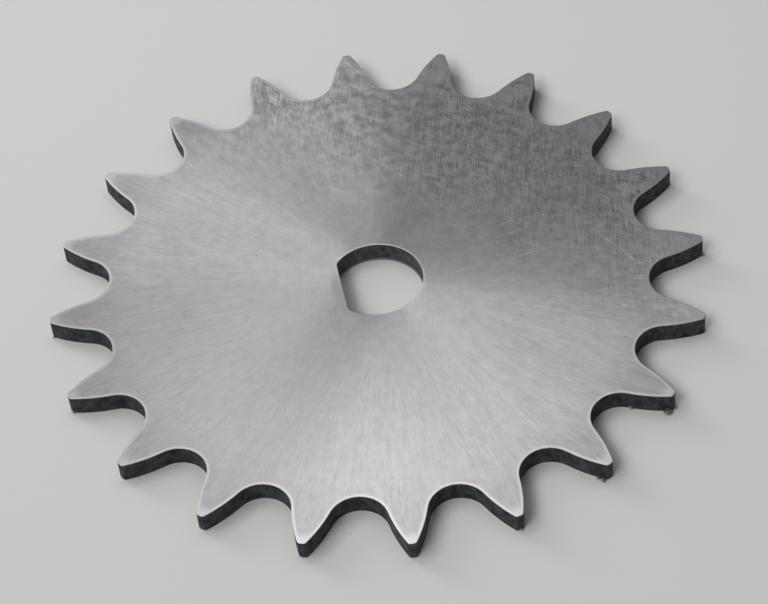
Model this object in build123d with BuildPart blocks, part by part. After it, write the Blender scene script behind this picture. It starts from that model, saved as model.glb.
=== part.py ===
from build123d import *
import os
from math import degrees, pi, sin

# Chain sprocket: a plate wheel for single roller chain, with a D-shaped bore.
#
# It is one piece, cut from flat plate. The front face was sanded after cutting, which
# broke the edges round it. The origin is on the bore axis at the back face. +Z points
# out of the front face, and one tooth points along +Y. Millimetres and degrees.

# The roller chain that it carries
pitch = 12.7
roller_diameter = 7.75

# Toothed rim
teeth = 20
tip_corner_radius = 0.3

# Plate
thickness = 3.0
front_edge_chamfer = 0.25  # sanded
back_edge_chamfer = 0.1  # only deburred

# Bore with one flat, for a shaft that is milled flat on one side
bore_diameter = 12.7
flat_depth = 1.59  # from the round of the bore in to the flat
flat_direction = 185.8  # the side of the bore that the flat is on, counted from +X
flat_corner_radius = 0.4
bore_edge_chamfer = 0.12

# Tooth form of ISO 606, with the closest gap round the roller. Over the tips the wheel
# measures the pitch circle's diameter plus a share of the pitch, less the roller.
seat_radius_ratio = 0.505  # of the roller's diameter
flank_radius_ratio = 0.12  # of the roller's diameter, for each of the teeth and two more
tip_ratio = 1.226  # of the pitch; the standard allows up to 1.25
seat_angle = 140 - 90 / teeth

# The most that a small edge may take of the form beside it
corner_share = 0.7  # of the land across a tooth's tip
chamfer_share = 0.9  # of the rounded corner that the chamfer runs round

pitch_radius = pitch / 2 / sin(pi / teeth)
tip_radius = pitch_radius + (tip_ratio * pitch - roller_diameter) / 2
seat_radius = seat_radius_ratio * roller_diameter
flank_radius = flank_radius_ratio * roller_diameter * (teeth + 2)

# The gap between two teeth, on +X: a round seat for the roller, then two flanks that curve
# away from it and run on past the tip circle.
gap_depth = tip_radius - pitch_radius + seat_radius
flank_length = gap_depth + seat_radius
flank_sweep = degrees(flank_length / flank_radius)
gap_reach = tip_radius + gap_depth

with BuildSketch() as gap:
    with BuildLine():
        seat = CenterArc((pitch_radius, 0), seat_radius, 180 - seat_angle / 2, seat_angle)
        flank = JernArc(seat @ 1, seat % 1, flank_radius, -flank_sweep)
        other_flank = mirror(flank, about=Plane.XZ)
        flank_end = flank @ 1
        Polyline(
            flank_end,
            (gap_reach, flank_end.Y),
            (gap_reach, -flank_end.Y),
            (flank_end.X, -flank_end.Y),
        )
    make_face()

with BuildSketch() as toothed_disc:
    Circle(tip_radius)
    first_gap = 90 + 180 / teeth
    with PolarLocations(0, teeth, start_angle=first_gap):
        add(gap.sketch, mode=Mode.SUBTRACT)
    tip_land = toothed_disc.edges().sort_by(SortBy.DISTANCE)[-1]
    tip_corner = min(tip_corner_radius, corner_share * tip_land.length)
    fillet(toothed_disc.vertices().group_by(SortBy.DISTANCE)[-1], tip_corner)

with BuildPart() as sprocket:
    add(toothed_disc.sketch)
    extrude(amount=thickness)

    front_face = sprocket.faces().sort_by(Axis.Z)[-1]
    back_face = sprocket.faces().sort_by(Axis.Z)[0]
    widest_chamfer = chamfer_share * tip_corner
    chamfer(front_face.outer_wire().edges(), min(front_edge_chamfer, widest_chamfer))
    chamfer(back_face.outer_wire().edges(), min(back_edge_chamfer, widest_chamfer))

    bore_radius = bore_diameter / 2
    with BuildSketch(Plane.XY.rotated((0, 0, flat_direction))) as bore:
        Circle(bore_radius)
        with Locations((bore_radius - flat_depth, 0)):
            beyond_flat = (Align.MIN, Align.CENTER)
            Rectangle(bore_diameter, bore_diameter, align=beyond_flat, mode=Mode.SUBTRACT)
        fillet(bore.vertices(), flat_corner_radius)
    extrude(amount=thickness, mode=Mode.SUBTRACT)

    faces_by_height = sprocket.faces().sort_by(Axis.Z)
    for bored_face in (faces_by_height[-1], faces_by_height[0]):
        chamfer(bored_face.inner_wires().edges(), bore_edge_chamfer)

sprocket.part.label = "sprocket"

os.makedirs("parts", exist_ok=True)
export_step(sprocket.part, "parts/sprocket.step")
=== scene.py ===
"""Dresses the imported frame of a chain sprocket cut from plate.

The wheel is modelled again at its real size with rounded, sanded edges, and it stands for
the plain solid of the frame. Small drops of slag hang on the lower edges of some teeth.
"""

import logging
import math
from collections.abc import Callable, Iterable, Sequence
from dataclasses import dataclass, field
from enum import Enum

import bmesh
import bpy
from mathutils import Euler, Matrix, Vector

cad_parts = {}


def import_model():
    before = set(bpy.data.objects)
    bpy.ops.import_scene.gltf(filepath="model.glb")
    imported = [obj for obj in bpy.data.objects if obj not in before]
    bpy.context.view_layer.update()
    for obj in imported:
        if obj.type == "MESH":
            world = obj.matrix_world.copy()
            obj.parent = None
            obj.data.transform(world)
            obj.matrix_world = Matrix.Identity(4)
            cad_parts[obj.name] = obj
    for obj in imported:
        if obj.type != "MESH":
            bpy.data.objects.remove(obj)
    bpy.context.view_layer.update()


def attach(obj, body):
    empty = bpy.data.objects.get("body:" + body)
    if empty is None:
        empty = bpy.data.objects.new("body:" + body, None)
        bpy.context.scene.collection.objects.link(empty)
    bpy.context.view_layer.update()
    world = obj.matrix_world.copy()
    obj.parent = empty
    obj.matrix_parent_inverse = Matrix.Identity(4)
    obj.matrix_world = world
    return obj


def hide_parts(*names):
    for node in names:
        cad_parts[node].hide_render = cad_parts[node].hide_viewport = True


MM = 0.001
NEAR = 1e-6  # what counts as the same place, in metres
JOIN = 0.002 * MM  # ends of an outline that are closer than this become one
FAN_RADIUS = 25.0  # mm, where the strokes of a fan have their stated width
BODY = "root"
NODE = "sprocket"

Piece, Material, Socket = bpy.types.Object, bpy.types.Material, bpy.types.NodeSocket
log = logging.getLogger("sprocket")


# ---- small tools


def linear(hex_code: str) -> tuple[float, float, float, float]:
    """Turns an sRGB hex colour into the linear colour that the nodes take.

    Args:
        hex_code: six digits, such as "b7b6b4".

    Returns:
        Red, green, blue and an alpha of 1.
    """
    parts = [int(hex_code[i : i + 2], 16) / 255 for i in (0, 2, 4)]
    r, g, b = (p / 12.92 if p <= 0.04045 else ((p + 0.055) / 1.055) ** 2.4 for p in parts)
    return (r, g, b, 1.0)


def polar(radius: float, degrees: float, z: float = 0.0) -> Vector:
    """Returns the point at a radius and a direction, in the units of the radius."""
    turn = math.radians(degrees)
    return Vector((radius * math.cos(turn), radius * math.sin(turn), z))


def turn_between(first: Vector, second: Vector) -> float:
    """Returns the signed angle from one vector to another about +Z, in degrees."""
    cross = first.x * second.y - first.y * second.x
    return math.degrees(math.atan2(cross, first.xy.dot(second.xy)))


def circles_meet(
    first: Vector, first_radius: float, second: Vector, second_radius: float, near: Vector
) -> Vector:
    """Finds where two circles in one level plane meet.

    Args:
        first: centre of the first circle.
        first_radius: its radius.
        second: centre of the second circle.
        second_radius: its radius.
        near: the meeting point closer to this is the one wanted.

    Returns:
        The point, in the units that went in.
    """
    apart = second - first
    gap = apart.length
    along = (first_radius**2 - second_radius**2 + gap**2) / (2 * gap)
    aside = math.sqrt(first_radius**2 - along**2)
    way = apart / gap
    left = Vector((-way.y, way.x, 0))
    return min(
        (first + way * along + left * side * aside for side in (1, -1)),
        key=lambda point: (point - near).length,
    )


def pick_all() -> None:
    """Selects the whole edit mesh."""
    bpy.ops.mesh.select_all(action="SELECT")


def start_edit_mesh(name: str) -> Piece:
    """Makes an empty mesh object at the origin and leaves it in edit mode.

    Args:
        name: the object's name.

    Returns:
        The object.
    """
    bpy.ops.object.select_all(action="DESELECT")
    bpy.ops.mesh.primitive_plane_add(size=MM, location=(0, 0, 0))
    piece = bpy.context.object
    piece.name = piece.data.name = name
    bpy.ops.object.mode_set(mode="EDIT")
    pick_all()
    bpy.ops.mesh.delete(type="VERT")
    return piece


def pick(kind: str, wanted: Callable[..., bool]) -> None:
    """Selects the parts of the edit mesh that pass a test, and nothing else.

    Args:
        kind: "VERT", "EDGE" or "FACE".
        wanted: the test on a vertex, an edge or a face.
    """
    bpy.ops.mesh.select_mode(type=kind)
    bpy.ops.mesh.select_all(action="DESELECT")
    mesh = bmesh.from_edit_mesh(bpy.context.object.data)
    parts = {"VERT": mesh.verts, "EDGE": mesh.edges, "FACE": mesh.faces}[kind]
    for part in [part for part in parts if wanted(part)]:
        part.select_set(True)
    bmesh.update_edit_mesh(bpy.context.object.data)


def is_open(edge: bmesh.types.BMEdge, z: float) -> bool:
    """Tells whether an edge is open and lies at a height in millimetres."""
    return edge.is_boundary and all(abs(vert.co.z - z * MM) < NEAR for vert in edge.verts)


def inset(thickness: float, depth: float) -> None:
    """Insets the selected face and moves it along its normal, both in millimetres."""
    bpy.ops.mesh.inset(thickness=thickness * MM, depth=depth * MM)


def extrude(by: float) -> None:
    """Pulls the selected face straight up, or down where the number of millimetres is below 0."""
    bpy.ops.mesh.extrude_region_move(TRANSFORM_OT_translate={"value": (0, 0, by * MM)})


class Pen:
    """Draws a wire outline in the edit mesh: a point, then arcs and lines that go on from it."""

    def start(self, at: Vector) -> None:
        """Puts one selected point at a place given in millimetres.

        Args:
            at: the place.
        """
        bpy.ops.mesh.select_mode(type="VERT")
        bpy.ops.mesh.select_all(action="DESELECT")
        bpy.ops.mesh.primitive_plane_add(size=MM, location=at * MM)
        bpy.ops.mesh.merge(type="CENTER")

    def arc(self, centre: Vector, degrees: float, steps: int) -> None:
        """Turns the end point about a centre, anticlockwise where the angle is positive."""
        turn, centre = -math.radians(degrees), centre * MM
        bpy.ops.mesh.spin(steps=steps, angle=turn, center=centre, axis=(0, 0, 1))

    def line(self, by: Vector, parts: int) -> None:
        """Draws a straight line in equal parts."""
        for _ in range(parts):
            bpy.ops.mesh.extrude_vertices_move(TRANSFORM_OT_translate={"value": by * (MM / parts)})


# ---- finishes


class Region(Enum):
    """The faces of the plate that were finished in different ways."""

    FRONT = "rubbed face"
    RIM = "rounded rim of the face"
    WALL = "cut walls of the teeth"
    BORE = "cut wall of the bore"
    BACK = "rolled face underneath"


@dataclass(frozen=True)
class Ramp:
    """A change from one value to another while what it follows goes from near to far."""

    near: float
    far: float
    first: float = 0.0
    last: float = 1.0

    def inputs(self, value: Socket, unit: float = 1.0) -> dict[str | int, object]:
        """Sets the change out for a Map Range node.

        Args:
            value: what it follows.
            unit: what near and far are given in, such as MM.

        Returns:
            The node's inputs.
        """
        return {
            "Value": value,
            "From Min": self.near * unit,
            "From Max": self.far * unit,
            "To Min": self.first,
            "To Max": self.last,
        }


@dataclass(frozen=True)
class Strokes:
    """One lay of abrasive strokes: their run, their size in mm, and how strongly they show."""

    direction: float  # degrees from +X
    length: float
    width: float
    strength: float


@dataclass(frozen=True)
class Scratch:
    """A single scratch on the face, from one place to another, in millimetres."""

    x: float
    y: float
    end_x: float
    end_y: float
    width: float
    strength: float


class Surface:
    """A material in the making, and the place on the object that its patterns read."""

    def __init__(self, name: str) -> None:
        """Makes an empty material with object coordinates, which are in metres.

        Args:
            name: the material's name.
        """
        self.material = bpy.data.materials.new(name)
        self.material.use_nodes = True
        self.material.node_tree.nodes.clear()
        self.place = self.add("TexCoord", output="Object")

    def add(
        self,
        kind: str,
        inputs: dict[str | int, object] | None = None,
        output: str | int = 0,
        **settings: object,
    ) -> Socket:
        """Adds one node with its settings, its own values and its links.

        Args:
            kind: the node's type without its prefix, such as "TexNoise".
            inputs: a value or another node's output for each input.
            output: which of the node's outputs is wanted.
            settings: attributes of the node.

        Returns:
            The wanted output.
        """
        tree = self.material.node_tree
        node = tree.nodes.new("ShaderNode" + kind)
        for name, value in settings.items():
            setattr(node, name, value)
        for name, value in (inputs or {}).items():
            if isinstance(value, Socket):
                tree.links.new(value, node.inputs[name])
            else:
                node.inputs[name].default_value = value
        return node.outputs[output]

    def grains(self, size: float, detail: float) -> dict[str | int, object]:
        """Returns what a noise takes for grains of a size in millimetres."""
        return {"Vector": self.place, "Scale": 1 / (size * MM), "Detail": detail}

    def gather(self, layers: Iterable[Socket], how: str) -> Socket:
        """Joins layers into one, each as soon as it is made, which keeps the shader small.

        Args:
            layers: the layers, at least one, made one by one.
            how: the Math operation that joins two of them.

        Returns:
            The joined layer.
        """
        made = iter(layers)
        joined = next(made)
        for layer in made:
            joined = self.add("Math", {0: joined, 1: layer}, operation=how)
        return joined

    def spread(self, spot: Socket, strength: float) -> Socket:
        """Turns stretched coordinates into strokes.

        Args:
            spot: coordinates in stroke lengths and widths.
            strength: how far the strokes go to either side of 0.

        Returns:
            The strokes.
        """
        noise = self.add(
            "TexNoise", {"Vector": spot, "Scale": 1.0, "Detail": 1.5, "Roughness": 0.6}
        )
        # Its values seldom leave this range.
        return self.add("MapRange", Ramp(0.25, 0.75, -strength, strength).inputs(noise))

    def lay(self, strokes: Strokes) -> Socket:
        """Draws one lay of straight strokes.

        Args:
            strokes: the lay.

        Returns:
            The strokes, around 0 and up to about their strength to either side.
        """
        inputs = {
            "Vector": self.place,
            "Rotation": (0, 0, math.radians(strokes.direction)),
            "Scale": (strokes.length * MM, strokes.width * MM, 1),
        }
        spot = self.add("Mapping", inputs, vector_type="TEXTURE")
        return self.spread(spot, strokes.strength)

    def fan(self, strokes: Strokes) -> Socket:
        """Draws strokes that run out from the axis at one slant all round.

        Args:
            strokes: the fan; its direction is the slant from the radius.

        Returns:
            The strokes, around 0 and up to about their strength to either side.
        """
        flat = self.add("VectorMath", {0: self.place, 1: (1, 1, 0)}, operation="MULTIPLY")
        radius = self.add("VectorMath", {0: flat}, "Value", operation="LENGTH")
        # A spiral that keeps its slant turns with the logarithm of the radius.
        grown = self.add("Math", {0: radius, 1: math.e}, operation="LOGARITHM")
        slant = -math.tan(math.radians(strokes.direction))
        turn = self.add("Math", {0: grown, 1: slant}, operation="MULTIPLY")
        swept = self.add("VectorRotate", {"Vector": flat, "Angle": turn}, rotation_type="Z_AXIS")
        way = self.add("VectorMath", {0: swept}, operation="NORMALIZE")
        out = self.add("Math", {0: radius, 1: strokes.length * MM}, operation="DIVIDE")
        lift = self.add("CombineXYZ", {"Z": out})
        closeness = (FAN_RADIUS / strokes.width,) * 3
        spot = self.add("VectorMath", {0: way, 1: closeness, 2: lift}, operation="MULTIPLY_ADD")
        return self.spread(spot, strokes.strength)

    def scratch(self, mark: Scratch) -> Socket:
        """Draws one scratch that fades towards its ends.

        Args:
            mark: the scratch.

        Returns:
            Its strength at each place, 0 away from it.
        """
        start, end = Vector((mark.x, mark.y, 0)), Vector((mark.end_x, mark.end_y, 0))
        run = end - start
        inputs = {
            "Vector": self.place,
            "Location": (start + end) / 2 * MM,
            "Rotation": (0, 0, math.atan2(run.y, run.x)),
            "Scale": (run.length / 2 * MM, mark.width / 2 * MM, 1),
        }
        spot = self.add("Mapping", inputs, vector_type="TEXTURE")
        away = self.add("VectorMath", {0: spot}, "Value", operation="LENGTH")
        # It fades from a fifth of the way to its outline.
        fade = Ramp(0.2, 1.0, mark.strength, 0.0)
        return self.add("MapRange", fade.inputs(away), interpolation_type="SMOOTHSTEP")

    def towards(self, degrees: float, ramp: Ramp) -> Socket:
        """Grows across the wheel in one direction.

        Args:
            degrees: the direction from +X.
            ramp: between which distances from the axis it grows, and its values.

        Returns:
            The value at each place.
        """
        sides = {0: self.place, 1: polar(1, degrees)}
        along = self.add("VectorMath", sides, "Value", operation="DOT_PRODUCT")
        return self.add("MapRange", ramp.inputs(along, MM), interpolation_type="SMOOTHSTEP")


@dataclass(frozen=True)
class Finish:
    """A surface finish: its darker and its lighter tone, and what else all finishes have."""

    name: str
    colour_low: str
    colour_high: str
    roughness: float
    relief: float  # mm
    metallic: float = 1.0
    roughness_spread: float = 0.0  # to either side
    contrast: Ramp = Ramp(0.35, 0.65)  # how the pattern goes from the darker to the lighter

    def material(self) -> Material:
        """Builds the material, which each finish does in its own way."""
        raise NotImplementedError

    def dullness(self) -> Ramp:
        """Returns how the roughness goes up with the pattern."""
        spread = self.roughness_spread
        return Ramp(0.0, 1.0, self.roughness - spread, self.roughness + spread)

    def close(
        self,
        metal: Surface,
        layers: Iterable[tuple[Socket, str]],
        height: Socket,
        more: dict[str, object] | None = None,
    ) -> Material:
        """Lays the colours over the darker tone, raises the pattern and adds the shader.

        Args:
            metal: the surface with its pattern.
            layers: for each further colour, how much of it shows and the colour.
            height: the pattern's height, where 1 is the whole relief.
            more: inputs of the shader that a finish sets in its own way.

        Returns:
            The finished material.
        """
        colour = linear(self.colour_low)
        for share, over in layers:
            inputs = {0: share, 6: colour, 7: linear(over)}
            colour = metal.add("Mix", inputs, 2, data_type="RGBA")
        normal = metal.add(
            "Bump", {"Height": height, "Distance": self.relief * MM, "Strength": 1.0}
        )
        inputs = {
            "Base Color": colour,
            "Metallic": self.metallic,
            "Roughness": self.roughness,
            "Normal": normal,
        }
        shader = metal.add("BsdfPrincipled", inputs | (more or {}))
        tree = metal.material.node_tree
        tree.links.new(shader, tree.nodes.new("ShaderNodeOutputMaterial").inputs["Surface"])
        return metal.material


@dataclass(frozen=True)
class RubbedAluminium(Finish):
    """Bare aluminium plate, rubbed by hand with abrasive paper from the bore outwards.

    The strokes run like spokes, so the light stands in soft sectors that turn about the
    bore. Shorter strokes cross them, and a few deeper scratches catch the light.
    """

    colour_low: str = "ababaf"
    colour_high: str = "e2e1e2"
    colour_bright: str = "f4f2f0"  # freshly cut metal in the scratches
    # the colour of the pits, and of a band of painted shade beside the bore's flat
    colour_pit_and_shade: str = "6e6b6c"
    colour_edge_highlight: str = "dad8da"  # painted highlight along the edge of the face and on the tooth tips, where the rolled-off edge catches the light
    edge: Ramp = Ramp(2.9999, 2.9965)  # mm, the heights of the face between which the painted edge highlight grows in
    roughness: float = 0.33
    roughness_spread: float = 0.04
    anisotropy: float = 0.9
    relief: float = 0.002
    # What changes with the distance from the axis, in mm.
    fans_grow: Ramp = Ramp(8.0, 20.0, 0.25, 1.0)
    bore_wear: Ramp = Ramp(8.0, 18.0, -0.03, 0.0)  # roughness: worn smooth round the bore
    teeth_painted_share: Ramp = Ramp(33.0, 41.0, 0.0, 2.0)  # how much the painted light and shade on the teeth counts
    # painted highlight on the tooth tips, growing in over these radii
    tips_highlight: Ramp = Ramp(42.6, 44.0, 0.0, 0.9)
    # The paper's own lines are about 0.03 mm wide; they are drawn coarser to show at all.
    fans: tuple[Strokes, ...] = (
        Strokes(0, 7.0, 0.22, 0.8),
        Strokes(-10, 4.0, 0.2, 0.7),
        Strokes(14, 4.0, 0.2, 0.7),
        Strokes(-34, 3.0, 0.26, 0.4),
        Strokes(38, 3.0, 0.26, 0.4),
        Strokes(-4, 12.0, 0.6, 0.45),
    )
    lays: tuple[Strokes, ...] = (
        Strokes(80, 4.5, 0.24, 0.8),
        Strokes(98, 3.2, 0.22, 0.6),
        Strokes(-38, 5.0, 0.24, 0.55),
        Strokes(-22, 6.0, 0.2, 0.35),
    )
    lays_towards: float = 53.0  # degrees from +X, the side where the crossing strokes lie
    lays_grow: Ramp = Ramp(5.0, 31.0, 0.03, 1.0)  # mm, towards that side
    lays_at_bore: Ramp = Ramp(0.0, 1.0, 0.3, 0.0)  # by how far the fans have grown
    lay_turn: float = 0.3  # how far they turn the grain of the face, as a tangent
    lay_depth: float = 0.6  # of the relief
    lay_tone: float = 4.6
    patch: float = 6.0  # mm, patches where they lie closer
    patchiness: Ramp = Ramp(0.35, 0.65, 0.75, 1.25)
    painted_lit_teeth: float = 36.0  # degrees from +X, the middle of the teeth painted lighter, where the light on them is dim
    teeth_painted_light_and_shade: Ramp = Ramp(12.0, 31.0, -1.0, 1.5)  # mm, towards them: painted shade on the teeth across the wheel, painted light on these
    cloud: float = 1.3  # mm, uneven dullness between the strokes
    cloud_tone: float = 2.5
    cloud_tone_lays: float = 11.0  # more of it where the crossing strokes lie
    contrast: Ramp = Ramp(-4.0, 4.0)
    mark_depth: float = 3.0  # of the relief
    mark_roughness: float = 0.3
    scratches: tuple[Scratch, ...] = tuple(
        Scratch(*row)
        for row in (
            (7.0, 4.8, 16.5, 6.4, 0.22, 0.5), (7.2, -1.1, 17.0, 0.9, 0.24, 0.45),
            (13.0, -0.3, 29.5, 3.0, 0.22, 0.55), (14.5, -0.6, 23.5, 1.8, 0.16, 0.5),
            (9.0, 5.9, 19.0, 8.2, 0.16, 0.3), (8.0, 1.9, 21.0, 5.0, 0.16, 0.45),
            (14.9, 6.6, 24.3, 8.6, 0.18, 0.6), (14.7, 4.4, 23.8, 6.6, 0.16, 0.5),
            (21.2, 1.3, 30.5, 3.4, 0.16, 0.5), (9.5, 2.9, 17.0, 4.4, 0.14, 0.3),
            (8.5, -2.4, 20.0, -0.2, 0.16, 0.25), (30.2, 3.8, 34.2, -1.0, 0.18, 1.0),
            (32.6, 1.2, 35.6, -3.8, 0.2, 1.0), (1.0, 23.5, 4.6, 19.6, 0.2, 0.5),
            (3.4, 20.5, 8.0, 16.6, 0.2, 0.5), (5.4, 27.0, 12.0, 20.6, 0.18, 0.4),
            (8.6, 25.6, 15.4, 20.9, 0.18, 0.45), (-1.0, 33.0, 5.5, 28.8, 0.18, 0.45),
            (9.0, 17.5, 13.5, 12.4, 0.16, 0.4), (29.2, 16.3, 30.6, 16.6, 0.45, 1.0),
            (16.0, 10.1, 16.6, 9.9, 0.4, 1.0), (20.2, 26.6, 20.6, 26.2, 0.25, 0.8),
            (31.6, -9.8, 32.3, -10.4, 0.35, 0.35), (29.5, -10.3, 30.0, -10.7, 0.3, 0.25),
        )
    )
    # Pits in the face. The last, 2.2 mm wide along the bore's flat, is no pit but painted shade: a
    # dark band where the face rolls off towards the flat.
    pits_and_painted_shade: tuple[Scratch, ...] = tuple(
        Scratch(*row)
        for row in (
            (-26.3, -1.5, -26.35, -2.9, 0.3, 0.35), (-25.45, -1.9, -25.6, -3.0, 0.24, 0.2),
            (-16.1, 7.1, -15.7, 7.1, 0.35, 0.9), (-5.2, 3.8, -5.8, -4.2, 2.2, 0.3),
        )
    )

    def material(self) -> Material:
        """Draws the fans, the crossing strokes and the scratches, and the tones they give, with
        painted highlight on the edges and tips, and painted light and shade on the teeth and
        beside the bore's flat.

        Returns:
            The material.
        """
        metal = Surface(self.name)
        place = metal.place
        radius = metal.add("VectorMath", {0: place}, "Value", operation="LENGTH")
        worn, near_bore, painted_light_on_teeth, highlight_on_tips = (
            metal.add("MapRange", ramp.inputs(radius, MM), interpolation_type="SMOOTHSTEP")
            for ramp in (self.fans_grow, self.bore_wear, self.teeth_painted_share, self.tips_highlight)
        )
        spokes = metal.gather((metal.fan(fan) for fan in self.fans), "ADD")
        spokes = metal.add("Math", {0: spokes, 1: worn}, operation="MULTIPLY")

        share = metal.towards(self.lays_towards, self.lays_grow)
        patches = metal.add("TexNoise", metal.grains(self.patch, 1.0))
        patches = metal.add("MapRange", self.patchiness.inputs(patches))
        share = metal.add("Math", {0: share, 1: patches}, operation="MULTIPLY")
        hatching = metal.gather((metal.lay(lay) for lay in self.lays), "ADD")
        # Turning the grain where they lie, they light up in the dark sectors.
        turn = metal.add("Math", {0: share, 1: self.lay_turn}, operation="MULTIPLY")
        turn = metal.add("Math", {0: hatching, 1: turn}, operation="MULTIPLY")
        # Round the bore they lie instead of the fans.
        there = metal.add("MapRange", self.lays_at_bore.inputs(worn))
        there = metal.add("Math", {0: share, 1: there}, operation="MAXIMUM")
        crossing = metal.add("Math", {0: hatching, 1: there}, operation="MULTIPLY")
        # Scratches, then the pits with the band of painted shade beside the bore's flat.
        marks, holes_and_painted_shade = (
            metal.gather((metal.scratch(mark) for mark in group), "MAXIMUM")
            for group in (self.scratches, self.pits_and_painted_shade)
        )
        height = metal.add(
            "Math", {0: crossing, 1: self.lay_depth, 2: spokes}, operation="MULTIPLY_ADD"
        )
        height = metal.add(
            "Math", {0: marks, 1: -self.mark_depth, 2: height}, operation="MULTIPLY_ADD"
        )

        cloud = metal.add("TexNoise", metal.grains(self.cloud, 1.0))
        cloud = metal.add("Math", {0: cloud, 1: 0.5}, operation="SUBTRACT")
        weight = {0: share, 1: self.cloud_tone_lays, 2: self.cloud_tone}
        weight = metal.add("Math", weight, operation="MULTIPLY_ADD")
        cloud = metal.add("Math", {0: cloud, 1: weight}, operation="MULTIPLY")
        tone = metal.add(
            "Math", {0: crossing, 1: self.lay_tone, 2: spokes}, operation="MULTIPLY_ADD"
        )
        tone = metal.add("Math", {0: tone, 1: cloud}, operation="ADD")
        # Painted light and shade on the teeth: darker and a little rougher where the light on them
        # is strong, lighter on the side where the crossing strokes lie and the light is dim.
        lift = metal.towards(self.painted_lit_teeth, self.teeth_painted_light_and_shade)
        tone = metal.add("Math", {0: painted_light_on_teeth, 1: lift, 2: tone}, operation="MULTIPLY_ADD")
        tone = metal.add("MapRange", self.contrast.inputs(tone))
        # Painted highlight: the lighter edge colour where the face rolls off towards its edge, and
        # on the tooth tips.
        level = metal.add("SeparateXYZ", {0: place}, "Z")
        edge = metal.add("MapRange", self.edge.inputs(level, MM), interpolation_type="SMOOTHSTEP")
        edge = metal.add("Math", {0: edge, 1: highlight_on_tips}, operation="MAXIMUM")
        layers = (
            (tone, self.colour_high),
            (edge, self.colour_edge_highlight),
            (marks, self.colour_bright),
            (holes_and_painted_shade, self.colour_pit_and_shade),
        )

        roughness = metal.add("MapRange", self.dullness().inputs(tone))
        roughness = metal.add(
            "Math", {0: marks, 1: self.mark_roughness, 2: roughness}, operation="MULTIPLY_ADD"
        )
        roughness = metal.add("Math", {0: roughness, 1: near_bore}, operation="ADD")
        # The strokes run outwards, so the light is drawn out around the axis.
        around = metal.add("VectorMath", {0: (0, 0, 1), 1: place}, operation="CROSS_PRODUCT")
        aside = metal.add("VectorMath", {0: place, "Scale": turn}, operation="SCALE")
        around = metal.add("VectorMath", {0: around, 1: aside}, operation="ADD")
        more = {"Roughness": roughness, "Anisotropic": self.anisotropy, "Tangent": around}
        return self.close(metal, layers, height, more)


@dataclass(frozen=True)
class SoftenedEdge(Finish):
    """The front edge where the paper ran over it: soft bare metal, rubbed in every direction."""

    colour_low: str = "a3a1a2"
    colour_high: str = "bab8b9"
    roughness: float = 0.5
    relief: float = 0.008
    grain: float = 0.3  # mm, ten of the paper's lines, since one is too fine to show

    def material(self) -> Material:
        """Draws the grain.

        Returns:
            The material.
        """
        metal = Surface(self.name)
        grain = metal.add("TexNoise", metal.grains(self.grain, 3.0))
        return self.close(metal, [(grain, self.colour_high)], grain)


@dataclass(frozen=True)
class CutAluminium(Finish):
    """The edge of the plate as the cutting jet left it.

    It is dull beside the rubbed face, with fine lines through the thickness. Its dark colour is
    partly painted shade, standing in for dark surroundings for the walls to reflect.
    """

    colour_low: str = "242528"
    colour_high: str = "5e5f64"
    roughness: float = 0.78
    relief: float = 0.012
    metallic: float = 0.6
    line_spacing: float = 0.35  # mm, the lines that the jet leaves
    line_length: float = 3.0  # mm
    grain: float = 0.16  # mm, blasted texture, drawn coarser than its real 0.05 mm
    grain_weight: float = 0.5  # beside the lines
    blotch: float = 1.1  # mm
    line_weight: float = 0.5  # beside the blotches
    contrast: Ramp = Ramp(0.6, 1.15)
    foot: float = 0.0  # mm, how high the smeared metal at the foot of the wall reaches
    foot_fade: float = 0.2  # of that height, to either side
    colour_foot: str = "7c7c80"

    def material(self) -> Material:
        """Draws the lines, the grain, the blotches and the smeared foot.

        Returns:
            The material.
        """
        metal = Surface(self.name)
        spacing = self.line_spacing * MM
        inputs = {"Vector": metal.place, "Scale": (spacing, spacing, self.line_length * MM)}
        spot = metal.add("Mapping", inputs, vector_type="TEXTURE")
        lines = metal.add(
            "TexNoise", {"Vector": spot, "Scale": 1.0, "Detail": 3.0, "Roughness": 0.6}
        )
        grain = metal.add("TexNoise", metal.grains(self.grain, 2.0))
        blotches = metal.add("TexNoise", metal.grains(self.blotch, 2.0))
        height = metal.add(
            "Math", {0: grain, 1: self.grain_weight, 2: lines}, operation="MULTIPLY_ADD"
        )
        tone = metal.add(
            "Math", {0: height, 1: self.line_weight, 2: blotches}, operation="MULTIPLY_ADD"
        )
        tone = metal.add("MapRange", self.contrast.inputs(tone))
        layers = [(tone, self.colour_high)]
        if self.foot:
            level = metal.add("SeparateXYZ", {0: metal.place}, "Z")
            ramp = Ramp(self.foot * (1 + self.foot_fade), self.foot * (1 - self.foot_fade))
            smear = metal.add("MapRange", ramp.inputs(level, MM), interpolation_type="SMOOTHSTEP")
            layers.append((smear, self.colour_foot))
        return self.close(metal, layers, height)


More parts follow.
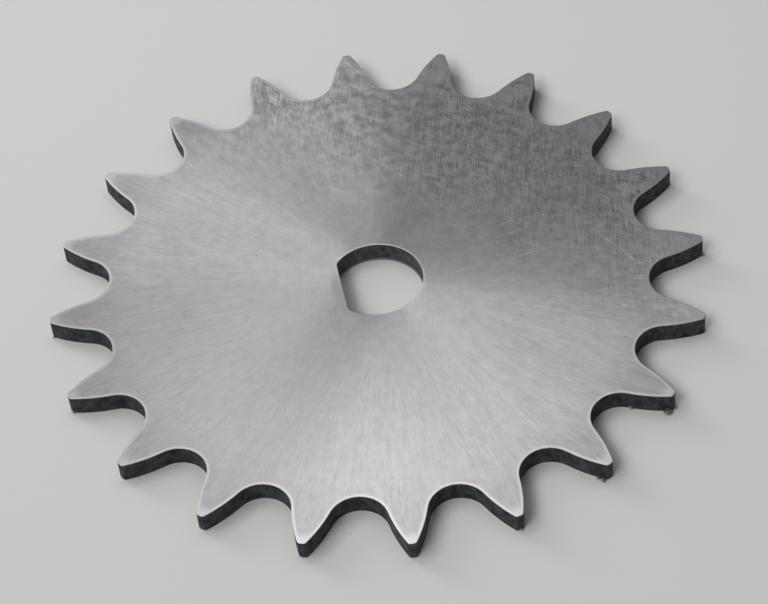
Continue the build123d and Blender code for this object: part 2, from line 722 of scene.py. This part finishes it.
@dataclass(frozen=True)
class RolledAluminium(Finish):
    """Mill finish, as the plate came from the rolls.

    It is soft and satin, with long faint lines in the rolling direction and dull blotches.
    """

    colour_low: str = "9b9ca0"
    colour_high: str = "bdbdbf"
    roughness: float = 0.42
    roughness_spread: float = 0.1
    relief: float = 0.003
    line_spacing: float = 0.3  # mm
    line_length: float = 25.0  # mm
    direction: float = 24.0  # degrees from +X
    blotch: float = 9.0  # mm
    blotch_weight: float = 0.8  # beside the lines
    contrast: Ramp = Ramp(0.65, 1.15)

    def material(self) -> Material:
        """Draws the rolling lines and the blotches.

        Returns:
            The material.
        """
        metal = Surface(self.name)
        inputs = {
            "Vector": metal.place,
            "Rotation": (0, 0, math.radians(self.direction)),
            "Scale": (self.line_length * MM, self.line_spacing * MM, 1),
        }
        spot = metal.add("Mapping", inputs, vector_type="TEXTURE")
        lines = metal.add(
            "TexNoise", {"Vector": spot, "Scale": 1.0, "Detail": 3.0, "Roughness": 0.6}
        )
        blotches = metal.add("TexNoise", metal.grains(self.blotch, 4.0))
        tone = metal.add(
            "Math", {0: blotches, 1: self.blotch_weight, 2: lines}, operation="MULTIPLY_ADD"
        )
        tone = metal.add("MapRange", self.contrast.inputs(tone))
        roughness = metal.add("MapRange", self.dullness().inputs(blotches))
        layers = [(tone, self.colour_high)]
        return self.close(metal, layers, lines, {"Roughness": roughness})


@dataclass(frozen=True)
class Slag(Finish):
    """Metal that melted at the cut and froze on the lower edge, oxidised and lumpy."""

    colour_low: str = "5d4c4e"
    colour_high: str = "a39a9b"
    roughness: float = 0.5
    relief: float = 0.05
    metallic: float = 0.7
    patch: float = 0.35  # mm

    def material(self) -> Material:
        """Draws the patches.

        Returns:
            The material.
        """
        metal = Surface(self.name)
        patches = metal.add("TexNoise", metal.grains(self.patch, 3.0))
        tone = metal.add("MapRange", self.contrast.inputs(patches))
        return self.close(metal, [(tone, self.colour_high)], patches)


# ---- the wheel


@dataclass
class SprocketPlate:
    """The toothed wheel: one plate, 3 mm thick, with a D-shaped bore. Sizes are in millimetres."""

    pitch: float = 12.7
    roller: float = 7.75  # diameter
    teeth: int = 20
    first_tooth: float = 90.0  # degrees from +X
    thickness: float = 3.0
    seat_ratio: float = 0.505  # radius of a gap's seat, by the roller
    flank_ratio: float = 0.12  # radius of a tooth's flank, by the roller and the teeth plus 2
    tip_ratio: float = 1.226  # by the pitch, for the diameter over the tips
    tip_corner: float = 0.44
    parts: tuple[int, ...] = (14, 8, 4, 2)  # of the seat, the flank, the corner and the tip
    edge_round: float = 0.06  # the corner between face and wall
    round_parts: int = 3  # of a rounded corner
    roll_off: float = 0.007  # how far the rubbed face falls towards its edge
    back_break: float = 0.1  # the corner at the back
    bands: tuple[float, ...] = (0.05, 0.06, 0.07, 0.09, 0.1, 0.12, 0.14)  # in which it falls
    corners_close: float = 0.03  # points closer than this join while a tip's corner is inset
    tips_close: float = 0.14  # and once the corner is used up
    point: float = 0.02  # what is left of a tooth between its bands
    bore: float = 6.35  # radius
    flat: float = 4.76  # from the axis to the flat
    flat_direction: float = 185.8  # degrees from +X
    flat_corner: float = 1.0
    bore_parts: tuple[int, ...] = (31, 3, 6)  # of half the round, a corner and half the flat
    bore_roll_width: float = 0.6  # how far from the bore the face starts to fall
    bore_roll_off: float = 0.003  # how far it falls
    bore_roll_parts: int = 5
    bore_edge: float = 0.04  # the corner between the face and the bore
    burr_reach: float = 0.1  # how far the burr at the bottom of the bore stands out
    burr_slope: float = 0.2  # how high its sloping top is
    # Of that reach and that slope, step by step.
    burr_steps: tuple[tuple[float, float], ...] = ((0.3, 0.45), (0.35, 0.35), (0.35, 0.2))
    burr_top: float = 0.36  # how high the burr begins
    burr_height: float = 0.08  # of its upright part
    web_from: float = 20.0  # open edges further out than this belong to the teeth
    web_rings: tuple[float, ...] = (0.85, 0.82, 0.79, 0.74, 0.66)  # each by the one before
    smooth_angle: float = 50.0  # degrees
    bore_zone: float = 1.0  # how far out from the bore its wall and burr reach
    wall_tilt: float = 0.05  # upright faces have a normal with less than this along +Z
    face_tilt: float = 0.99  # and level ones more than this
    finishes: dict[Region, Finish] = field(
        default_factory=lambda: {
            Region.FRONT: RubbedAluminium("rubbed_aluminium"),
            Region.RIM: SoftenedEdge("softened_edge_aluminium"),
            Region.WALL: CutAluminium("cut_aluminium_painted_shade"),
            # Reamed after it was cut: smoother and paler, with metal smeared over its foot. Its
            # dark colour is partly painted shade, as on the walls.
            Region.BORE: CutAluminium("reamed_aluminium_painted_shade", "37383a", "6e6e71", 0.7, foot=0.34),
            Region.BACK: RolledAluminium("rolled_aluminium"),
        }
    )
    pen: Pen = field(default_factory=Pen)

    @property
    def pitch_radius(self) -> float:
        """Radius of the circle through the rollers' centres."""
        return self.pitch / 2 / math.sin(math.pi / self.teeth)

    @property
    def tip_radius(self) -> float:
        """Radius over the tooth tips."""
        return self.pitch_radius + (self.tip_ratio * self.pitch - self.roller) / 2

    def build(self) -> Piece:
        """Models the wheel and dresses it.

        Returns:
            The finished object, in the place of the plain solid.
        """
        piece = start_edit_mesh("sprocket_plate")
        self.draw_teeth()
        self.raise_wall()
        top = self.thickness - self.edge_round - self.roll_off
        self.round_rim(top, self.edge_round, self.roll_off)
        self.round_rim(self.back_break, self.back_break, 0.0)
        for z in (self.thickness, 0.0):
            self.face_teeth(z)
        self.cut_bore()
        for z in (self.thickness, 0.0):
            self.face_web(z)
        bpy.ops.mesh.select_mode(type="FACE")
        pick_all()
        bpy.ops.mesh.normals_make_consistent(inside=False)
        bpy.ops.object.mode_set(mode="OBJECT")
        self.dress(piece)
        return piece

    def quarter(self, radius: float) -> list[tuple[float, float]]:
        """Splits a quarter of a circle into parts.

        Args:
            radius: the circle's radius.

        Returns:
            How far each part goes along the way in which the quarter starts, and across it.
        """
        turns = [math.pi / 2 * i / self.round_parts for i in range(self.round_parts + 1)]
        return [
            (radius * (math.sin(b) - math.sin(a)), radius * (math.cos(a) - math.cos(b)))
            for a, b in zip(turns, turns[1:])
        ]

    def draw_teeth(self) -> None:
        """Draws one tooth with half a gap on each side, turns it all round, and fills the face."""
        z, mid = self.back_break, self.first_tooth
        seat = self.seat_ratio * self.roller
        flank = self.flank_ratio * self.roller * (self.teeth + 2)
        seat_parts, flank_parts, corner_parts, tip_parts = self.parts
        seat_angle = 140 - 90 / self.teeth  # degrees, the standard's for the closest gap
        axis = Vector((0, 0, z))
        for side in (1, -1):
            gap = mid - side * 180 / self.teeth
            roller = polar(self.pitch_radius, gap, z)
            way = gap + side * (180 - seat_angle / 2)
            seat_end = roller + polar(seat, way)
            flank_centre = roller + polar(seat + flank, way)
            corner = circles_meet(
                axis,
                self.tip_radius - self.tip_corner,
                flank_centre,
                flank - self.tip_corner,
                polar(self.tip_radius, mid - side * 2, z),
            )
            flank_end = flank_centre + (corner - flank_centre).normalized() * flank
            land = axis + (corner - axis).normalized() * self.tip_radius
            sweep = turn_between(seat_end - flank_centre, flank_end - flank_centre)
            self.pen.start(polar(self.pitch_radius - seat, gap, z))
            self.pen.arc(roller, -side * seat_angle / 2, seat_parts)
            self.pen.arc(flank_centre, sweep, flank_parts)
            self.pen.arc(corner, turn_between(flank_end - corner, land - corner), corner_parts)
            self.pen.arc(axis, turn_between(land - axis, polar(1, mid)), tip_parts)
        pick_all()
        bpy.ops.mesh.spin(
            steps=self.teeth - 1,
            angle=math.radians(360 * (self.teeth - 1) / self.teeth),
            dupli=True,
            center=(0, 0, 0),
            axis=(0, 0, 1),
        )
        pick_all()
        bpy.ops.mesh.remove_doubles(threshold=JOIN)
        bpy.ops.mesh.edge_face_add()

    def raise_wall(self) -> None:
        """Pulls the outline up through the thickness, less its two rounded edges."""
        extrude(self.thickness - self.edge_round - self.roll_off - self.back_break)
        pick_all()
        bpy.ops.mesh.normals_make_consistent(inside=False)

    def round_rim(self, z: float, edge: float, drop: float) -> None:
        """Rounds one edge of the outline by insets, rolls the face off, and takes its middle away.

        Args:
            z: where the wall ends.
            edge: radius of the corner.
            drop: how far the face rises from the corner to its flat part.
        """
        pick(
            "FACE",
            lambda face: len(face.verts) > self.teeth
            and abs(face.calc_center_median().z - z * MM) < NEAR,
        )
        for along, across in self.quarter(edge):
            inset(across, along)
        whole, reach = sum(self.bands), 0.0
        for band in self.bands:
            left, reach = 1 - reach / whole, reach + band
            inset(band, drop * (left**2 - (1 - reach / whole) ** 2))
            # At the tips the bands close up: first the corners, then the land between them.
            closed = self.corners_close if edge + reach < self.tip_corner else self.tips_close
            bpy.ops.mesh.remove_doubles(threshold=closed * MM)
        bpy.ops.mesh.delete(type="ONLY_FACE")

    def on_flank(self, edge: bmesh.types.BMEdge, mid: Vector, z: float) -> bool:
        """Finds the open edges of one tooth that don't reach its point.

        Args:
            edge: an edge of the plate.
            mid: the tooth's direction.
            z: the height of the face.

        Returns:
            Whether the edge is one of them.
        """
        aside = [vert.co.x * mid.y - vert.co.y * mid.x for vert in edge.verts]
        centre = (edge.verts[0].co + edge.verts[1].co) / 2
        return (
            is_open(edge, z)
            and abs(turn_between(mid, centre)) < 180 / self.teeth
            and min(abs(side) for side in aside) > self.point * MM
        )

    def face_teeth(self, z: float) -> None:
        """Fills each tooth's face with bands from flank to flank, and closes its point.

        Args:
            z: the height of the face.
        """
        for tooth in range(self.teeth):
            mid = polar(1, self.first_tooth - tooth * 360 / self.teeth)
            pick("EDGE", lambda edge, mid=mid: self.on_flank(edge, mid, z))
            bpy.ops.mesh.bridge_edge_loops(number_cuts=3, interpolation="LINEAR")
        pick_all()
        bpy.ops.mesh.fill_holes(sides=8)

    def cut_bore(self) -> None:
        """Draws the D-shaped bore, rolls the face off into it, and leaves a burr at the back."""
        z = self.thickness
        round_parts, corner_parts, flat_parts = self.bore_parts
        grow = self.bore_roll_width + self.bore_edge
        radius, flat, corner = (value + grow for value in (self.bore, self.flat, self.flat_corner))
        turn = math.degrees(
            math.atan2(math.sqrt((radius - corner) ** 2 - (flat - corner) ** 2), flat - corner)
        )
        bpy.ops.mesh.select_mode(type="VERT")
        pick_all()
        bpy.ops.mesh.hide(unselected=False)
        for side in (1, -1):
            centre = polar(radius - corner, self.flat_direction - side * turn, z)
            self.pen.start(polar(radius, self.flat_direction - 180, z))
            self.pen.arc(Vector((0, 0, z)), side * (180 - turn), round_parts)
            self.pen.arc(centre, side * turn, corner_parts)
            end = centre + polar(corner, self.flat_direction)
            self.pen.line(polar(flat, self.flat_direction, z) - end, flat_parts)
        pick_all()
        bpy.ops.mesh.remove_doubles(threshold=JOIN)
        bpy.ops.mesh.edge_face_add()
        mesh = bmesh.from_edit_mesh(bpy.context.object.data)
        if next(face for face in mesh.faces if face.select).normal.z > 0:
            bpy.ops.mesh.flip_normals()
        parts = self.bore_roll_parts
        for i in range(parts):
            fall = self.bore_roll_off * ((i + 1) ** 2 - i**2) / parts**2
            inset(self.bore_roll_width / parts, fall)
        for along, across in self.quarter(self.bore_edge):
            inset(along, across)
        extrude(-(self.thickness - self.bore_edge - self.bore_roll_off - self.burr_top))
        for out, fall in self.burr_steps:
            inset(self.burr_reach * out, self.burr_slope * fall)
        extrude(-self.burr_height)
        extrude(-(self.burr_top - self.burr_slope - self.burr_height))
        wide = 1 + (self.burr_reach + self.back_break) / self.bore
        bpy.ops.transform.resize(value=(wide, wide, 1), center_override=(0, 0, 0))
        bpy.ops.mesh.delete(type="ONLY_FACE")
        bpy.ops.mesh.reveal(select=False)

    def face_web(self, z: float) -> None:
        """Draws rings in from the roots of the teeth and fills the rest up to the bore.

        Args:
            z: the height of the face.
        """
        inner = self.web_from * MM
        pick("EDGE", lambda edge: is_open(edge, z) and edge.verts[0].co.xy.length > inner)
        for shrink in self.web_rings:
            bpy.ops.mesh.extrude_edges_move(TRANSFORM_OT_translate={"value": (0, 0, 0)})
            bpy.ops.transform.resize(value=(shrink, shrink, 1), center_override=(0, 0, z * MM))
        pick("EDGE", lambda edge: is_open(edge, z))
        bpy.ops.mesh.fill(use_beauty=True)

    def dress(self, piece: Piece) -> None:
        """Smooths the shading and gives each region its finish.

        Args:
            piece: the plate, in object mode.
        """
        bpy.ops.object.shade_smooth_by_angle(angle=math.radians(self.smooth_angle))
        weigh = piece.modifiers.new("weigh", "WEIGHTED_NORMAL")
        weigh.keep_sharp = True
        weigh.weight = 100
        bpy.ops.object.modifier_apply(modifier=weigh.name)
        for region in Region:
            piece.data.materials.append(self.finishes[region].material())
        places = list(Region)
        for face in piece.data.polygons:
            tilt = face.normal.z
            inside = face.center.xy.length < (self.bore + self.bore_zone) * MM
            if inside and NEAR < face.center.z < self.thickness / 2 * MM:
                region = Region.BORE
            elif abs(tilt) < self.wall_tilt:
                region = Region.BORE if inside else Region.WALL
            elif tilt < 0:
                region = Region.BACK
            else:
                region = Region.FRONT if tilt > self.face_tilt else Region.RIM
            face.material_index = places.index(region)


@dataclass(frozen=True)
class Bead:
    """Where one drop of slag hangs, and its size, in millimetres."""

    place: tuple[float, ...]
    width: float
    height: float
    turn: float  # degrees


@dataclass
class SlagBeads:
    """Drops of slag on the lower edges of some teeth."""

    beads: tuple[Bead, ...] = (
        Bead((35.1, -26.75, 0.35), 1.25, 0.62, 20),
        Bead((36.2, -26.15, 0.24), 0.5, 0.4, 75),
        Bead((30.5, -25.2, 0.3), 0.75, 0.5, 130),
        Bead((24.6, -35.9, 0.22), 0.55, 0.38, 10),
        Bead((25.13, -36.35, 0.27), 0.7, 0.46, 60),
        Bead((13.77, -42.3, 0.26), 0.65, 0.44, 200),
        Bead((44.5, -0.56, 0.22), 0.45, 0.38, 0),
    )
    name: str = "slag_bead"
    narrowing: float = 0.85  # a drop's depth by its width
    foot: float = 0.75  # the width of its lower part, by its own
    foot_top: float = -0.1  # how high that part reaches, by its height
    lumps: float = 0.09  # how far its points are moved at random
    seed: int = 5
    finish: Slag = field(default_factory=lambda: Slag("slag_aluminium"))

    def build(self) -> list[Piece]:
        """Models one drop, copies it to each place and dresses the copies.

        Returns:
            The drops.
        """
        drop = self.model_drop()
        material = self.finish.material()
        pieces = []
        for number, bead in enumerate(self.beads, 1):
            piece = drop.copy()
            piece.data = drop.data.copy()
            piece.name = piece.data.name = f"{self.name}_{number}"
            bpy.context.scene.collection.objects.link(piece)
            width = bead.width * MM
            piece.scale = (width, width * self.narrowing, bead.height * MM)
            piece.rotation_euler = (0, 0, math.radians(bead.turn))
            piece.location = Vector(bead.place) * MM
            bpy.ops.object.select_all(action="DESELECT")
            piece.select_set(True)
            bpy.context.view_layer.objects.active = piece
            bpy.ops.object.transform_apply(location=True, rotation=True, scale=True)
            piece.data.materials.append(material)
            pieces.append(piece)
        bpy.data.objects.remove(drop)
        return pieces

    def model_drop(self) -> Piece:
        """Models a lumpy drop one unit across, wider above than below.

        Returns:
            The drop, smooth and with its modifier applied.
        """
        bpy.ops.object.select_all(action="DESELECT")
        bpy.ops.mesh.primitive_ico_sphere_add(subdivisions=2, radius=0.5, location=(0, 0, 0))
        drop = bpy.context.object
        bpy.ops.object.mode_set(mode="EDIT")
        pick("VERT", lambda vert: vert.co.z < self.foot_top)
        bpy.ops.transform.resize(value=(self.foot, self.foot, 1), center_override=(0, 0, 0))
        pick_all()
        bpy.ops.transform.vertex_random(
            offset=self.lumps, uniform=0.5, normal=0.5, seed=self.seed
        )
        bpy.ops.object.mode_set(mode="OBJECT")
        smooth = drop.modifiers.new("smooth", "SUBSURF")
        smooth.levels = smooth.render_levels = 2
        bpy.ops.object.modifier_apply(modifier=smooth.name)
        bpy.ops.object.shade_smooth()
        return drop


# ---- the studio


@dataclass(frozen=True)
class Lamp:
    """A square soft lamp that points at the wheel."""

    azimuth: float  # degrees from +X
    elevation: float  # degrees
    distance: float  # m
    size: float  # m
    level: float  # what it adds to a white floor, about
    colour: str = "ffffff"


@dataclass
class Studio:
    """Floor, lamps, soft surroundings and camera."""

    floor_colour: str = "d8d8d6"
    floor_roughness: float = 0.9
    floor_size: float = 3.0  # m
    floor_gap: float = 0.01  # mm, how far below the wheel the floor lies
    world_level: float = 0.145
    world_colour: str = "f8faff"
    lamp_power: float = 10.0  # W at a distance of 1 m, for a level of 1
    lamps: tuple[Lamp, ...] = (
        Lamp(105, 30, 0.2, 0.12, 0.0194, "fffaf9"),
        Lamp(120, 50, 0.2, 0.12, 0.0257, "fffaf9"),
        Lamp(75, 70, 0.2, 0.12, 0.0595, "fffcfc"),
        Lamp(120, 70, 0.2, 0.12, 0.0727, "fffbf9"),
        Lamp(135, 20, 1.5, 0.6, 0.2746, "fffdf9"),
        Lamp(135, 50, 1.5, 0.6, 0.0782),
        Lamp(180, 50, 1.5, 0.6, 0.1814),
        Lamp(225, 50, 1.5, 0.6, 0.3453),
        Lamp(45, 50, 1.5, 0.6, 0.0223),
    )
    camera_place: tuple[float, ...] = (-0.003791, -0.235784, 0.265217)  # m
    camera_turn: tuple[float, ...] = (41.274132, 4.208482, -5.857160)  # degrees
    camera_lens: float = 122.19667  # mm
    camera_sensor: float = 36.0  # mm

    def build(self) -> None:
        """Sets up the whole studio."""
        self.lay_floor()
        self.light()
        self.set_camera()

    def lay_floor(self) -> None:
        """Lays a plain pale floor under the wheel."""
        bpy.ops.object.select_all(action="DESELECT")
        bpy.ops.mesh.primitive_plane_add(
            size=self.floor_size, location=(0, 0, -self.floor_gap * MM)
        )
        floor = bpy.context.object
        floor.name = floor.data.name = "floor"
        bpy.ops.object.transform_apply(location=True, rotation=True, scale=True)
        # Matt paint: pale and even, with no reflection of the wheel in it.
        material = bpy.data.materials.new("matt_floor")
        material.use_nodes = True
        shader = material.node_tree.nodes["Principled BSDF"]
        shader.inputs["Base Color"].default_value = linear(self.floor_colour)
        shader.inputs["Roughness"].default_value = self.floor_roughness
        floor.data.materials.append(material)

    def light(self) -> None:
        """Hangs the lamps and sets the soft light from all round."""
        scene = bpy.context.scene
        for number, lamp in enumerate(self.lamps):
            data = bpy.data.lights.new(f"lamp_{number}", "AREA")
            data.shape = "SQUARE"
            data.size = lamp.size
            data.energy = self.lamp_power * lamp.level * lamp.distance**2
            data.color = linear(lamp.colour)[:3]
            stand = bpy.data.objects.new(data.name, data)
            scene.collection.objects.link(stand)
            towards = polar(math.cos(math.radians(lamp.elevation)), lamp.azimuth)
            towards.z = math.sin(math.radians(lamp.elevation))
            stand.location = towards * lamp.distance
            stand.rotation_euler = towards.to_track_quat("Z", "Y").to_euler()
            stand.visible_camera = False
        world = bpy.data.worlds.new("studio")
        world.use_nodes = True
        back = world.node_tree.nodes["Background"]
        back.inputs["Color"].default_value = linear(self.world_colour)
        back.inputs["Strength"].default_value = self.world_level
        scene.world = world
        scene.view_settings.view_transform = "Standard"

    def set_camera(self) -> None:
        """Places the camera in front of the wheel, looking down on it."""
        data = bpy.data.cameras.new("camera")
        data.lens = self.camera_lens
        data.sensor_width = self.camera_sensor
        camera = bpy.data.objects.new("camera", data)
        camera.location = self.camera_place
        camera.rotation_euler = Euler([math.radians(turn) for turn in self.camera_turn])
        bpy.context.scene.collection.objects.link(camera)
        bpy.context.scene.camera = camera


def main() -> None:
    """Builds the studio and the wheel, and ties the wheel to its frame."""
    logging.basicConfig(level=logging.INFO, format="%(name)s: %(message)s")
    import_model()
    Studio().build()
    log.info("studio ready")
    plate = SprocketPlate().build()
    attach(plate, BODY)
    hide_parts(NODE)
    log.info("%s: %d faces", plate.name, len(plate.data.polygons))
    # Two drops stayed bright: bare metal without the brown of the others.
    bare = SlagBeads(
        (Bead((-42.14, -14.2, 0.22), 0.45, 0.38, 300), Bead((-44.5, -0.5, 0.22), 0.45, 0.38, 240)),
        "bare_bead",
        finish=Slag("bare_slag_aluminium", "a3a1a4", "d9d7d9"),
    )
    for bead in SlagBeads().build() + bare.build():
        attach(bead, BODY)
        log.info("%s: %d faces", bead.name, len(bead.data.polygons))


if __name__ == "__main__":
    main()
